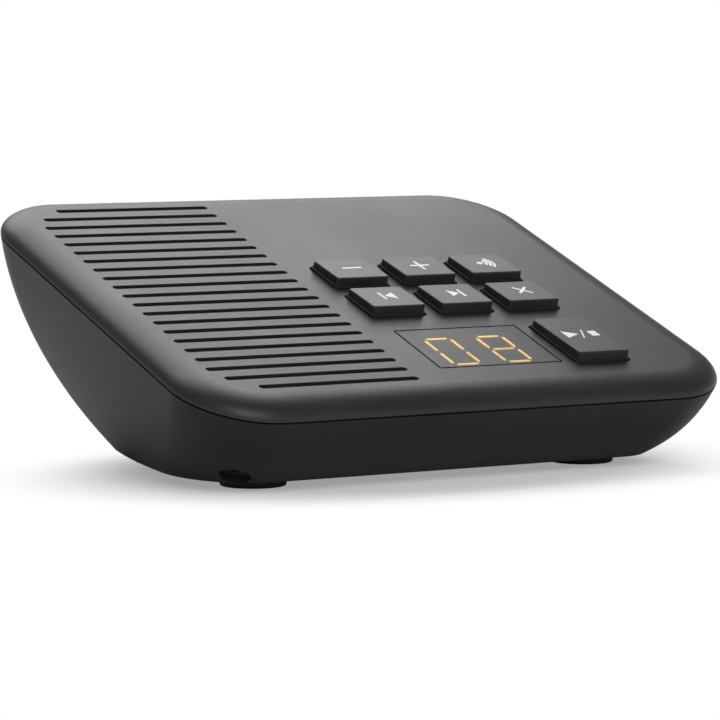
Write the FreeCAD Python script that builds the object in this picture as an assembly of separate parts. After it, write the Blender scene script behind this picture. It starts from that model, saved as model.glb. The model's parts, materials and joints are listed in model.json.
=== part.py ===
import FreeCAD, Part
import math
import os

# Desk answering machine: a tilted cover with a slotted grille, seven keys and a two-digit
# display, on a bowl-shaped housing. Millimetres. X is right, Y is back and Z is up; the
# origin is on the table under the middle of the body.

# Body
body_width = 130.0
cover_length = 107.8            # along the slope, front to back
corner_radius = 17.4
cover_tilt = 20.16              # degrees, front low
cover_centre_y = -1.486
cover_centre_z = 36.94
wall = 2.2
roll_run = 6.5                  # the cover's rolled edge, across
roll_depth = 3.6                # the cover's rolled edge, down to the parting line
seam_gap = 0.4
underside_height = 1.9          # the housing's flat bottom above the table
underside_edge_radius = 1.2

# Curve of the housing wall below the parting line: draft at the top, then a circular arc
side_draft = 13.0
side_arc_radius = 79.0
front_draft = 7.0
front_arc_radius = 28.5
front_arc_end = 45.0
bowl_depth = 47.0

# Grille
slot_pitch = 4.5
slot_count = 21
slot_width = 1.7
slot_right_end = -12.8
slot_left_end = -56.8
slot_field_centre = 0.6
slot_end_steps = {0: 7.0, 1: 1.8}      # the outer slots are shorter by this at the left

# Keys: column and row centres on the cover, sizes of the caps' tops
key_columns = [0.63, 17.75, 34.87]
key_row_back = 5.85
key_row_front = -9.15
key_width = 12.8
key_length = 10.6
play_key_centre = -32.25
play_key_length = 18.1
key_front_height = 2.25         # the top slopes down towards the back
key_back_height = 1.8
key_corner = 0.7
key_draft = 0.06
skirt_reach = 0.5               # a low step round the foot of the cap
skirt_height = 0.45
key_gap = 0.32
flange_reach = 0.7
flange_room = 0.35
flange_top = -2.5
flange_thickness = 0.8
stem_radius = 1.8
key_wall = 1.2
key_stem_end = -4.5
key_travel = 0.8
switch_side = 6.2
switch_top = key_stem_end - key_travel - 0.3
switch_floor = -8.7

# Display
window_centre = (9.95, -31.2)
window_width = 30.4
window_length = 19.0
window_gap = 0.3
window_thickness = 0.8
ledge_width = 1.3
module_width = 26.6
module_length = 15.6
digit_centre = (10.2, -31.2)
digit_height = 13.2
digit_width = 7.2
digit_pitch = 12.85
bar_width = 0.78
bar_thickness = 0.35
bar_gap = 0.48

# Boards
board_thickness = 1.6
key_board_top = -9.0
main_board_z = 8.0
main_board_half_width = 42.0

# Speaker
speaker_centre = (-34.8, 0.6)
speaker_radius = 20.0

# Microphone port, low on the front left corner
mic_point = (-51.4, -36.5, 3.5)
mic_out = (-0.36, -0.33, -0.88)
mic_port_radius = 3.25
mic_port_depth = 1.3

# Feet and screws
foot_radius = 6.75
foot_recess = 0.6
front_foot = (40.4, -24.9)
back_foot = (34.5, 21.0)
housing_posts = [(-9.3, -30.0, "front"), (-28.5, 29.5, "back"), (28.5, 29.5, "back")]
post_radius = 4.2
post_well_radius = 3.2
screw_shelf_z = {"front": 9.0, "back": 22.0}
shelf_thickness = 2.0

# Socket bay in the back wall
bay_half_width = 19.0
bay_floor_z = 8.0
bay_roof_z = 24.0
bay_panel_y = 38.0
panel_thickness = 2.0
line_socket_x = -8.5
power_socket_x = 8.5

Vec = FreeCAD.Vector
nodes = {}


def vec(x, y, z=0.0):
    return Vec(x, y, z)


def tilted(shape):
    """Lays a shape drawn on the flat cover (x, up the slope, outwards) onto the tilted one."""
    turned = shape.copy()
    turned.rotate(Vec(0, 0, 0), Vec(1, 0, 0), cover_tilt)
    turned.translate(Vec(0, cover_centre_y, cover_centre_z))
    return turned


def box(x0, x1, y0, y1, z0, z1):
    return Part.makeBox(x1 - x0, y1 - y0, z1 - z0, vec(x0, y0, z0))


def cylinder(x, y, z0, z1, radius):
    return Part.makeCylinder(radius, z1 - z0, vec(x, y, z0))


def tube(x, y, z0, z1, outer, inner):
    return cylinder(x, y, z0, z1, outer).cut(cylinder(x, y, z0, z1, inner))


def rounded_wire(width, length, radius, z, cx=0.0, cy=0.0):
    """A rectangle with round corners, always of four lines and four arcs in the same order."""
    hx = width / 2.0
    hy = length / 2.0
    a = hx - radius
    b = hy - radius
    k = radius * math.sqrt(0.5)
    corners = [(1, -1), (1, 1), (-1, 1), (-1, -1)]
    edges = []
    for i, (sx, sy) in enumerate(corners):
        on_x = vec(cx + sx * hx, cy + sy * b, z)
        on_y = vec(cx + sx * a, cy + sy * hy, z)
        middle = vec(cx + sx * (a + k), cy + sy * (b + k), z)
        start, end = (on_y, on_x) if sx * sy < 0 else (on_x, on_y)
        edges.append(Part.Arc(start, middle, end).toShape())
        nx, ny = corners[(i + 1) % 4]
        next_on_x = vec(cx + nx * hx, cy + ny * b, z)
        next_on_y = vec(cx + nx * a, cy + ny * hy, z)
        next_start = next_on_y if nx * ny < 0 else next_on_x
        edges.append(Part.LineSegment(end, next_start).toShape())
    return Part.Wire(edges)


def rounded_block(width, length, radius, z0, z1, cx=0.0, cy=0.0):
    face = Part.Face(rounded_wire(width, length, radius, z0, cx, cy))
    return face.extrude(vec(0, 0, z1 - z0))


def slot_block(x0, x1, y, width, z0, z1):
    """A straight slot with round ends."""
    r = width / 2.0
    right = vec(x1, y, z0)
    left = vec(x0, y, z0)
    edges = [
        Part.LineSegment(vec(x0 + r, y - r, z0), vec(x1 - r, y - r, z0)).toShape(),
        Part.Arc(vec(x1 - r, y - r, z0), right, vec(x1 - r, y + r, z0)).toShape(),
        Part.LineSegment(vec(x1 - r, y + r, z0), vec(x0 + r, y + r, z0)).toShape(),
        Part.Arc(vec(x0 + r, y + r, z0), left, vec(x0 + r, y - r, z0)).toShape(),
    ]
    return Part.Face(Part.Wire(edges)).extrude(vec(0, 0, z1 - z0))


def polygon_block(points, z0, z1):
    ring = [vec(x, y, z0) for x, y in points]
    ring.append(ring[0])
    return Part.Face(Part.makePolygon(ring)).extrude(vec(0, 0, z1 - z0))


def fused(first, others):
    return first.fuse(list(others)).removeSplitter() if others else first


def arc_inset(depth, draft, radius, end_angle=80.0):
    """How far a wall has curved in at a depth: an arc from its draft, then straight on."""
    start = math.radians(draft)
    end = math.radians(end_angle)
    arc_depth = radius * (math.sin(end) - math.sin(start))
    on_arc = min(depth, arc_depth)
    sine = math.sin(start) + on_arc / radius
    inset = radius * (math.cos(start) - math.sqrt(1.0 - sine * sine))
    return inset + (depth - on_arc) * math.tan(end)


def bowl_wire(depth, offset):
    """The housing's outline at a depth below the parting line, drawn in by an offset."""
    sides = arc_inset(depth, side_draft, side_arc_radius) + offset
    front = arc_inset(depth, front_draft, front_arc_radius, front_arc_end) + offset
    low = -cover_length / 2.0 + front
    high = cover_length / 2.0 - sides
    radius = corner_radius - 0.06 * depth - offset
    centre = (low + high) / 2.0
    return rounded_wire(body_width - 2.0 * sides, high - low, radius, -roll_depth - depth, 0.0, centre)


def bowl_solid(offset, top_depth):
    depths = [top_depth, 4.0, 9.0, 15.0, 22.0, 29.0, 35.0, 41.0, bowl_depth]
    return Part.makeLoft([bowl_wire(d, offset) for d in depths], True, False)


def roll_solid(width, length, radius, run, bottom, top):
    """A shallow lid whose edge rolls over as a quarter ellipse from the side to the flat top."""
    wires = []
    for angle in [90.0, 72.0, 54.0, 38.0, 24.0, 12.0, 0.0]:
        turn = math.radians(angle)
        inset = run * (1.0 - math.sin(turn))
        z = bottom + (top - bottom) * math.cos(turn)
        wires.append(rounded_wire(width - 2.0 * inset, length - 2.0 * inset, radius - inset, z))
    return Part.makeLoft(wires, True, False)


def key_places():
    """Name, centre and cap length of each key."""
    names_back = ["key_minus", "key_plus", "key_page"]
    names_front = ["key_previous", "key_next", "key_delete"]
    places = [(n, x, key_row_back, key_length) for n, x in zip(names_back, key_columns)]
    places += [(n, x, key_row_front, key_length) for n, x in zip(names_front, key_columns)]
    places.append(("key_play_stop", key_columns[2], play_key_centre, play_key_length))
    return places


def grille_slots():
    """The grille's slots; the outer ones follow the body's round corners."""
    slots = []
    for i in range(slot_count):
        from_edge = min(i, slot_count - 1 - i)
        left = slot_left_end + slot_end_steps.get(from_edge, 0.0)
        y = slot_field_centre + (i - (slot_count - 1) / 2.0) * slot_pitch
        slots.append(slot_block(left, slot_right_end, y, slot_width, -wall - 1.0, 1.0))
    return slots


key_board_posts = [(-4.0, 15.8), (43.0, 15.8), (-4.0, -19.3), (43.0, -18.85)]
bracket_posts = [(-59.0, 18.0), (-59.0, -17.0), (-10.6, 18.0), (-10.6, -17.0)]


def cover_post(x, y, bottom, radius=2.6):
    return tube(x, y, bottom, -wall + 0.2, radius, 0.95)


def top_cover():
    """The moulded cover: rolled edge, grille, key openings, display seat, posts and collars."""
    edge = -roll_depth + seam_gap / 2.0
    outer = roll_solid(body_width, cover_length, corner_radius, roll_run, -roll_depth, 0.0)
    outer = outer.common(box(-80, 80, -70, 70, edge, 5))
    inner = roll_solid(body_width - 2 * wall, cover_length - 2 * wall, corner_radius - wall,
                       3.4, edge - 0.4, -wall)
    cover = outer.cut(inner)
    groove = rounded_block(body_width - 2.2, cover_length - 2.2, corner_radius - 1.1, edge - 1, edge + 1.1)
    groove = groove.cut(rounded_block(body_width - 6.0, cover_length - 6.0, corner_radius - 3.0,
                                      edge - 2, edge + 2))
    cover = cover.cut(groove)
    adds = []
    cuts = []
    for name, x, y, length in key_places():
        margin = 2 * (skirt_reach + key_gap)
        corner = key_corner + skirt_reach + key_gap
        cuts.append(rounded_block(key_width + margin, length + margin, corner, -9, 1, x, y))
        room_wide = key_width + 2 * (skirt_reach + flange_reach + flange_room)
        room_deep = length + 2 * (skirt_reach + flange_reach + flange_room)
        collar = rounded_block(room_wide + 1.6, room_deep + 1.6, 1.5, -4.8, -wall + 0.2, x, y)
        adds.append(collar.cut(rounded_block(room_wide, room_deep, 0.6, -6, 1, x, y)))
    cx, cy = window_centre
    cuts.append(rounded_block(window_width, window_length, 0.6, -window_thickness - 0.02, 1, cx, cy))
    cuts.append(rounded_block(window_width - 2 * ledge_width, window_length - 2 * ledge_width, 0.4,
                              -6, 1, cx, cy))
    for x, y in key_board_posts:
        adds.append(cover_post(x, y, key_board_top))
    for x, y in bracket_posts:
        adds.append(cover_post(x, y, -4.2, 2.0))
    adds += cover_ribs()
    cover = cover.fuse(adds).cut(cuts)
    bosses = [cover_boss(x, y, side) for x, y, side in housing_posts]
    return fused(tilted(cover), bosses).cut([tilted(slot) for slot in grille_slots()])


def cover_ribs():
    """Low stiffening ribs on the cover's underside, clear of the grille, keys and display."""
    low = -wall - 1.6
    ribs = [box(-51, 51, 49.2, 50.2, low, -wall + 0.2)]
    ribs.append(box(-8.0, 52, 22.0, 23.0, low, -wall + 0.2))
    ribs.append(box(-8.0, 52, 36.0, 37.0, low, -wall + 0.2))
    ribs += [box(x, x + 1.0, 15.5, 49.5, low, -wall + 0.2) for x in (6.0, 22.0, 38.0)]
    ribs.append(box(-45, 51, -49.4, -48.4, low + 0.4, -wall + 0.2))
    return ribs


def cover_boss(x, y, side):
    """An upright boss under the cover that takes a housing screw."""
    slope = math.tan(math.radians(cover_tilt))
    under = cover_centre_z + (y - 3.4 - cover_centre_y) * slope - wall / math.cos(math.radians(cover_tilt))
    top = under + 0.5
    boss = cylinder(x, y, screw_shelf_z[side] + shelf_thickness + 0.1, top, 3.2)
    room = cylinder(x, y, screw_shelf_z[side] + shelf_thickness, top - 1.2, 1.2)
    reach = box(x - 3.2, x + 3.2, y, y + 3.3, top - 1.6, top + 1.6)
    reach = reach.common(cylinder(x, y, top - 2, top + 2, 3.2))
    return boss.fuse(reach).cut(room)


def bottom_housing():
    """The bowl-shaped lower shell with its tongue, posts, socket bay, vents and wells."""
    outer = tilted(bowl_solid(0.0, 0.0))
    table_side = box(-90, 90, -90, 90, -40, underside_height)
    outer = outer.cut(table_side)
    rim = [e for e in outer.Edges if e.BoundBox.ZMax < underside_height + 0.05]
    outer = outer.makeFillet(underside_edge_radius, rim)
    top_cut = tilted(box(-80, 80, -70, 70, -roll_depth - seam_gap / 2.0, 20))
    outer = outer.cut(top_cut)
    inner = tilted(bowl_solid(wall, -1.0))
    inner = inner.cut(box(-90, 90, -90, 90, -40, underside_height + wall))
    shell = outer.cut(inner)
    inside_add = [housing_tongue()]
    posts = []
    cuts = []
    for x, y, side in housing_posts:
        shelf = screw_shelf_z[side]
        posts.append(cylinder(x, y, underside_height + 1.0, shelf + shelf_thickness, post_radius))
        cuts.append(cylinder(x, y, -1, shelf, post_well_radius))
        cuts.append(cylinder(x, y, shelf - 1, shelf + shelf_thickness + 1, 1.7))
    for sx in (-1, 1):
        for y in (-17.0, 21.0):
            posts.append(cylinder(sx * 37.0, y, underside_height + 1.0, main_board_z, 2.8))
            cuts.append(cylinder(sx * 37.0, y, underside_height + 2.0, main_board_z + 1, 1.0))
        for fx, fy in (front_foot, back_foot):
            cuts.append(cylinder(sx * fx, fy, -1, underside_height + foot_recess, foot_radius + 0.15))
    bay = box(-bay_half_width - 1.8, bay_half_width + 1.8, bay_panel_y - panel_thickness, 60,
              bay_floor_z - 1.8, bay_roof_z + 1.8).common(tilted(bowl_solid(0.6, -1.0)))
    shell = shell.fuse(inside_add + posts + floor_ribs() + [bay])
    cuts.append(rounded_recess())
    for x in (line_socket_x, power_socket_x):
        cuts.append(box(x - 6.75, x + 6.75, 30, 45, 9.3, 21.9))
    shell = shell.cut(cuts)
    return microphone_port(shell)


def rounded_recess():
    """The space of the socket bay, open to the back."""
    wide = 2 * bay_half_width
    high = bay_roof_z - bay_floor_z
    face = Part.Face(rounded_wire(wide, high, 1.5, 0.0))
    space = face.extrude(vec(0, 0, 30))
    space.rotate(Vec(0, 0, 0), Vec(1, 0, 0), 90)
    space.translate(vec(0, bay_panel_y + 30, (bay_roof_z + bay_floor_z) / 2.0))
    return space


def housing_tongue():
    """The thin upstanding edge inside the parting line that locates the cover."""
    outer = rounded_block(body_width - 2.6, cover_length - 2.6, corner_radius - 1.3,
                          -roll_depth - 1.6, -roll_depth + 1.0)
    inner = rounded_block(body_width - 4.4, cover_length - 4.4, corner_radius - 2.2,
                          -roll_depth - 3, -roll_depth + 3)
    return tilted(outer.cut(inner))


def floor_ribs():
    """Low ribs on the housing's floor under the main board."""
    low = underside_height + wall - 0.5
    ribs = [box(x - 0.6, x + 0.6, -30, 30, low, 6.4) for x in (-20.0, 0.0, 20.0)]
    ribs += [box(-40, 40, y - 0.6, y + 0.6, low, 6.4) for y in (-8.0, 10.0)]
    return ribs


def mic_axis():
    out = Vec(*mic_out)
    out.normalize()
    return out


def along_mic(radius, start, length):
    """A cylinder on the microphone's axis; start is measured inwards from the outer surface."""
    out = mic_axis()
    base = Vec(*mic_point) - out * start
    return Part.makeCylinder(radius, length, base, out * -1)


def microphone_port(shell):
    holder = along_mic(4.9, 1.6, 4.6).cut(box(-90, 90, -90, 90, -10, underside_height + 1.0))
    shell = shell.fuse(holder)
    cuts = [along_mic(mic_port_radius, -3.0, 3.0 + mic_port_depth)]
    cuts.append(along_mic(0.8, 0.0, 4.0))
    cuts.append(along_mic(3.9, 2.4, 6.0))
    return shell.cut(cuts)


def microphone():
    return along_mic(3.0, 3.0, 2.7)


def microphone_boot():
    """The rubber cup round the microphone, open where the sound comes in."""
    cup = along_mic(3.85, 2.45, 4.2)
    return cup.cut([along_mic(3.02, 2.98, 2.74), along_mic(0.8, 2.0, 2.0)])


def rubber_feet():
    feet = []
    for sx in (-1, 1):
        for fx, fy in (front_foot, back_foot):
            foot = cylinder(sx * fx, fy, 0, underside_height + foot_recess - 0.02, foot_radius)
            edges = [e for e in foot.Edges if e.BoundBox.ZMax < 0.01]
            feet.append(foot.makeFillet(0.5, edges))
    return Part.makeCompound(feet)


def screw(x, y, head_z, length, radius=1.4, head_radius=2.7, head_height=1.8):
    """An upright screw driven from below, with a cross recess in its head."""
    head = cylinder(x, y, head_z - head_height, head_z, head_radius)
    edges = [e for e in head.Edges if e.BoundBox.ZMax < head_z - head_height + 0.01]
    head = head.makeFillet(0.6, edges)
    body = head.fuse(cylinder(x, y, head_z, head_z + length, radius))
    low = head_z - head_height - 0.1
    arm = head_radius * 0.55
    cross = [box(x - arm, x + arm, y - 0.3, y + 0.3, low, low + 1.1)]
    cross.append(box(x - 0.3, x + 0.3, y - arm, y + arm, low, low + 1.1))
    return body.cut(cross)


def housing_screws():
    return Part.makeCompound([screw(x, y, screw_shelf_z[side] - 0.02, 8.0, 1.15)
                              for x, y, side in housing_posts])


def key_cap(x, y, length):
    """The visible part of a key: near-upright sides and a top that slopes down to the back."""
    low = rounded_wire(key_width + 2 * key_draft, length + 2 * key_draft, key_corner, 0.0, x, y)
    high = rounded_wire(key_width, length, key_corner, key_front_height + 1.0, x, y)
    cap = Part.makeLoft([low, high], True, True)
    front = y - length / 2.0
    back = y + length / 2.0
    profile = [(front - 1, key_front_height), (back + 1, key_back_height), (back + 1, 9), (front - 1, 9)]
    ring = [vec(x - key_width, py, pz) for py, pz in profile]
    above = Part.Face(Part.makePolygon(ring + [ring[0]])).extrude(vec(2 * key_width, 0, 0))
    cap = cap.cut(above)
    edges = [e for e in cap.Edges if e.BoundBox.ZMin > key_back_height - 0.1]
    return cap.makeFillet(0.3, edges)


def key(x, y, length):
    """One moulded key: the cap on its skirt, a retaining flange, a stem and two ribs, hollow below."""
    step = 2 * skirt_reach
    skirt = rounded_block(key_width + step, length + step, key_corner + skirt_reach, flange_top,
                          skirt_height, x, y)
    edges = [e for e in skirt.Edges if e.BoundBox.ZMin > skirt_height - 0.01]
    skirt = skirt.makeFillet(0.15, edges)
    reach = 2 * (skirt_reach + flange_reach)
    flange = rounded_block(key_width + reach, length + reach, 1.2, flange_top - flange_thickness,
                           flange_top, x, y)
    body = skirt.fuse([key_cap(x, y, length), flange])
    roof = key_back_height - 1.4
    hollow = rounded_block(key_width - 2 * key_wall, length - 2 * key_wall, 0.3, flange_top - 2, roof, x, y)
    body = body.cut(hollow)
    stem = cylinder(x, y, key_stem_end, roof + 0.2, stem_radius)
    rib_low = flange_top - flange_thickness + 0.3
    half_wide = key_width / 2 - 0.9
    half_deep = length / 2 - 0.9
    ribs = [box(x - half_wide, x + half_wide, y - 0.45, y + 0.45, rib_low, roof + 0.2)]
    ribs.append(box(x - 0.45, x + 0.45, y - half_deep, y + half_deep, rib_low, roof + 0.2))
    return tilted(fused(body, [stem] + ribs))


def display_window():
    cx, cy = window_centre
    pane = rounded_block(window_width - 2 * window_gap, window_length - 2 * window_gap, 0.4,
                         -window_thickness, 0.0, cx, cy)
    return tilted(pane)


def display_module():
    """The two-digit light block, with its pins through the key board."""
    cx, cy = window_centre
    top = -window_thickness - 0.05 - bar_thickness
    block = rounded_block(module_width, module_length, 0.4, key_board_top, top, cx, cy)
    pins = []
    for i in range(9):
        x = cx + (i - 4) * 2.54
        for side in (-1, 1):
            tip = key_board_top - board_thickness - 1.2
            pins.append(cylinder(x, cy + side * 6.6, tip, key_board_top, 0.3))
    return tilted(fused(block, pins))


def bar_outline(length, width):
    """A segment bar lying along x, pointed at both ends."""
    half = length / 2.0
    point = width / 2.0
    return [(-half, 0), (-half + point, -point), (half - point, -point),
            (half, 0), (half - point, point), (-half + point, point)]


def digit_bars():
    """The fourteen light bars, seven to each digit."""
    cx, cy = digit_centre
    z0 = -window_thickness - 0.05 - bar_thickness
    w = (digit_width - bar_width) / 2.0
    h = (digit_height - bar_width) / 2.0
    across = 2 * w - 2 * bar_gap
    up = h - 2 * bar_gap
    level = [(0, h), (0, 0), (0, -h)]
    upright = [(-w, h / 2), (w, h / 2), (-w, -h / 2), (w, -h / 2)]
    bars = []
    for side in (-1, 1):
        ox = cx + side * digit_pitch / 2.0
        for x, y in level:
            bar = polygon_block(bar_outline(across, bar_width), z0, z0 + bar_thickness)
            bar.translate(vec(ox + x, cy + y))
            bars.append(bar)
        for x, y in upright:
            bar = polygon_block(bar_outline(up, bar_width), z0, z0 + bar_thickness)
            bar.rotate(Vec(0, 0, 0), Vec(0, 0, 1), 90)
            bar.translate(vec(ox + x, cy + y))
            bars.append(bar)
    return tilted(Part.makeCompound(bars))


def switch_plunger(x, y):
    """The button of a push switch, kept in by its collar."""
    button = cylinder(x, y, -7.6, key_stem_end - 0.02, 1.4)
    return tilted(button.fuse(cylinder(x, y, -7.6, -6.9, 2.1)).removeSplitter())


def switch_bodies():
    """The seven push switches on the key board, open for their buttons."""
    bodies = []
    for name, x, y, length in key_places():
        body = rounded_block(switch_side, switch_side, 0.4, key_board_top, switch_top, x, y)
        body = body.cut([cylinder(x, y, switch_floor, -6.6, 2.4), cylinder(x, y, -7.0, 0, 1.75)])
        pins = [box(x + sx * 3.4 - 0.35, x + sx * 3.4 + 0.35, y + dy - 0.35, y + dy + 0.35,
                    key_board_top, key_board_top + 0.9) for sx in (-1, 1) for dy in (-2.2, 2.2)]
        bodies.append(fused(body, pins))
    return tilted(Part.makeCompound(bodies))


def key_board():
    """The circuit board under the keys and the display."""
    outline = [(-5.2, -43.0), (45.5, -43.0), (45.5, 18.8), (-8.0, 18.8), (-8.0, -22.5), (-5.2, -24.0)]
    board = polygon_block(outline, key_board_top - board_thickness, key_board_top)
    holes = [cylinder(x, y, -20, 0, 1.1) for x, y in key_board_posts]
    cx, cy = window_centre
    for i in range(9):
        for side in (-1, 1):
            holes.append(cylinder(cx + (i - 4) * 2.54, cy + side * 6.6, -20, 0, 0.32))
    return tilted(board.cut(holes))


def small_screw(x, y, head_top, length):
    """A screw that points up into the cover, on the flat cover's axes."""
    head = cylinder(x, y, head_top - 1.2, head_top, 2.1)
    body = head.fuse(cylinder(x, y, head_top, head_top + length, 0.93))
    return body.cut(box(x - 1.3, x + 1.3, y - 0.25, y + 0.25, head_top - 2, head_top - 0.6))


def key_board_screws():
    under = key_board_top - board_thickness - 0.02
    return tilted(Part.makeCompound([small_screw(x, y, under, 6.0) for x, y in key_board_posts]))


def grille_cloth():
    """The thin dark cloth glued under the slots."""
    x, y = speaker_centre
    flat = rounded_block(46.4, 93.4, 9.0, -wall - 0.4, -wall, x, y)
    right_half = rounded_block(23.2, 93.4, 0.8, -wall - 0.4, -wall, x + 11.6, y)
    cloth = tilted(fused(flat, [right_half]))
    holes = [cylinder(bx, by, 0, 60, 4.2) for bx, by, side in housing_posts]
    return cloth.cut(holes + [tilted(cylinder(px, py, -5, 0, 2.3)) for px, py in bracket_posts])


def speaker_gasket():
    x, y = speaker_centre
    return tilted(tube(x, y, -3.2, -wall - 0.42, speaker_radius, 17.2))


def speaker_frame():
    """The pressed basket: a rim, a sloping wall with four windows and a seat for the magnet."""
    x, y = speaker_centre
    profile = [(17.2, -3.62), (20.0, -3.62), (20.0, -4.2), (17.6, -4.2), (11.6, -11.0), (0, -11.0),
               (0, -10.1), (11.2, -10.1)]
    points = [vec(r, 0, z) for r, z in profile]
    face = Part.Face(Part.makePolygon(points + [points[0]]))
    basket = face.revolve(Vec(0, 0, 0), Vec(0, 0, 1), 360)
    windows = []
    for i in range(4):
        opening = box(9.0, 25.0, -4.5, 4.5, -9.6, -5.2)
        opening.rotate(Vec(0, 0, 0), Vec(0, 0, 1), 45 + 90 * i)
        windows.append(opening)
    basket = basket.cut(windows + [cylinder(0, 0, -12, -9, 6.4)])
    basket.translate(vec(x, y))
    return tilted(basket)


def speaker_magnet():
    x, y = speaker_centre
    ring = tube(x, y, -16.6, -11.02, 11.2, 6.6)
    plate = cylinder(x, y, -18.2, -16.6, 10.4)
    pole = cylinder(x, y, -16.7, -10.4, 5.2)
    return tilted(fused(ring, [plate, pole]))


def speaker_cone():
    """The paper cone with its rolled surround and the voice coil former."""
    x, y = speaker_centre
    profile = [(19.4, -3.22), (19.4, -3.6), (16.9, -3.6), (15.6, -4.5), (14.0, -4.2), (6.1, -9.2),
               (6.1, -10.9), (5.6, -10.9), (5.6, -8.7), (13.9, -3.7), (15.5, -4.0), (16.8, -3.22)]
    points = [vec(r, 0, z) for r, z in profile]
    face = Part.Face(Part.makePolygon(points + [points[0]]))
    cone = face.revolve(Vec(0, 0, 0), Vec(0, 0, 1), 360)
    cone.translate(vec(x, y))
    return tilted(cone)


def speaker_dust_cap():
    x, y = speaker_centre
    ball = Part.makeSphere(8.6, vec(x, y, -14.0))
    shell = ball.cut(Part.makeSphere(8.3, vec(x, y, -14.0)))
    cap = shell.common(cylinder(x, y, -7.1, -3.0, 5.5))
    return tilted(cap)


def speaker_bracket():
    """The plate that holds the speaker's rim against the cover."""
    x, y = speaker_centre
    plate = rounded_block(52.8, 41.0, 3.0, -5.4, -4.22, x, y)
    holes = [cylinder(px, py, -9, 0, 1.1) for px, py in bracket_posts]
    holes.append(Part.makeCone(15.0, 18.2, 3.2, vec(x, y, -7.4)))
    return tilted(plate.cut(holes))


def bracket_screws():
    return tilted(Part.makeCompound([small_screw(x, y, -5.42, 2.6) for x, y in bracket_posts]))


def main_board():
    w = main_board_half_width
    outline = [(-w, -22), (w, -22), (w, 24.8), (23.5, 24.8), (23.5, 35.4), (-23.5, 35.4), (-23.5, 24.8),
               (-w, 24.8)]
    board = polygon_block(outline, main_board_z, main_board_z + board_thickness)
    holes = [cylinder(sx * 37.0, y, 0, 20, 1.4) for sx in (-1, 1) for y in (-17.0, 21.0)]
    return board.cut(holes)


def main_board_screws():
    screws = []
    for sx in (-1, 1):
        for y in (-17.0, 21.0):
            top = main_board_z + board_thickness + 0.02
            head = cylinder(sx * 37.0, y, top, top + 1.6, 2.4)
            shank = cylinder(sx * 37.0, y, top - 5.0, top, 0.97)
            slot = box(sx * 37.0 - 1.6, sx * 37.0 + 1.6, y - 0.3, y + 0.3, top + 0.8, top + 3)
            screws.append(head.fuse(shank).cut(slot))
    return Part.makeCompound(screws)


board_top = main_board_z + board_thickness


def leaded_chip(x, y, width, length, height, lead_count):
    """A flat package with rows of leads down two sides."""
    body = box(x - width / 2, x + width / 2, y - length / 2, y + length / 2, board_top + 0.1,
               board_top + height)
    leads = []
    pitch = (length - 1.6) / (lead_count - 1)
    for i in range(lead_count):
        ly = y - length / 2 + 0.8 + i * pitch
        for side in (-1, 1):
            x0 = x + side * (width / 2 - 0.1)
            x1 = x + side * (width / 2 + 1.0)
            leads.append(box(min(x0, x1), max(x0, x1), ly - 0.2, ly + 0.2, board_top, board_top + 0.35))
    return fused(body, leads)


def processor():
    return leaded_chip(4.0, -6.0, 12.0, 14.0, 1.6, 10)


def memory_chip():
    return leaded_chip(-16.0, -8.0, 7.5, 12.0, 1.4, 8)


def radio_shield():
    """The folded tin can over the radio parts."""
    outer = rounded_block(24.0, 18.0, 0.5, board_top, board_top + 3.4, 26.5, -2.0)
    inner = rounded_block(23.4, 17.4, 0.3, board_top - 1, board_top + 3.1, 26.5, -2.0)
    vents = [cylinder(26.5 + dx, -2.0 + dy, 0, 30, 0.8) for dx in (-6, 0, 6) for dy in (-4, 4)]
    return outer.cut(inner).cut(vents)


def crystal():
    return slot_block(-5.6, 5.6, 9.0, 4.4, board_top, board_top + 3.4)


def capacitors():
    cans = []
    places = [(20.0, 22.0, 4.0, 11.0), (30.5, 20.2, 3.15, 8.5), (-22.0, -17.0, 3.15, 7.0)]
    for x, y, radius, height in places:
        can = cylinder(x, y, board_top, board_top + height, radius)
        edges = [e for e in can.Edges if e.BoundBox.ZMin > board_top + height - 0.01]
        cans.append(can.makeFillet(0.5, edges))
    return Part.makeCompound(cans)


def line_transformer():
    core = box(-31.0, -19.0, 10.5, 24.5, board_top, board_top + 9.0)
    core = core.cut([box(-32, -18, 13.5, 21.5, board_top + 2.2, board_top + 6.8)])
    bobbin = rounded_block(9.0, 6.8, 1.0, board_top + 2.3, board_top + 6.7, -25.0, 17.5)
    return fused(core, [bobbin, box(-26.5, -23.5, 12, 23, board_top + 3.5, board_top + 5.5)])


def modular_socket(x):
    """A modular socket that opens to the back, with the ledges its plug's latch catches on."""
    body = box(x - 6.5, x + 6.5, 22.5, bay_panel_y, board_top, 21.6)
    cavity = box(x - 4.9, x + 4.9, 26.5, 50, 12.4, 19.4)
    latch = box(x - 1.7, x + 1.7, 31.0, 50, 10.6, 13.0)
    step = box(x - 3.1, x + 3.1, 26.5, 50, 11.6, 13.0)
    return body.cut([cavity, latch, step])


def spring_contacts(x, count):
    """Spring wires that slant down into a modular socket's cavity."""
    wires = []
    for i in range(count):
        wx = x + (i - (count - 1) / 2.0) * 1.02
        wire = box(wx - 0.16, wx + 0.16, 27.5, 35.0, 18.9, 19.22)
        wire.rotate(vec(wx, 27.5, 19.2), Vec(1, 0, 0), -12)
        wires.append(wire)
    return Part.makeCompound(wires)


def line_socket():
    return modular_socket(line_socket_x)


def line_contacts():
    return spring_contacts(line_socket_x, 4)


def power_socket():
    return modular_socket(power_socket_x)


def power_contacts():
    return spring_contacts(power_socket_x, 2)


def antennas():
    """The two bent metal strips on the sides of the main board."""
    strips = []
    for sx in (-1, 1):
        x0 = sx * 40.6
        up = box(min(x0, x0 + sx * 0.5), max(x0, x0 + sx * 0.5), -8.0, -3.0, board_top, 13.0)
        along = box(min(x0, x0 + sx * 0.5), max(x0, x0 + sx * 0.5), -8.0, 13.0, 12.8, 15.8)
        strips.append(fused(up, [along]))
    return Part.makeCompound(strips)


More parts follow.
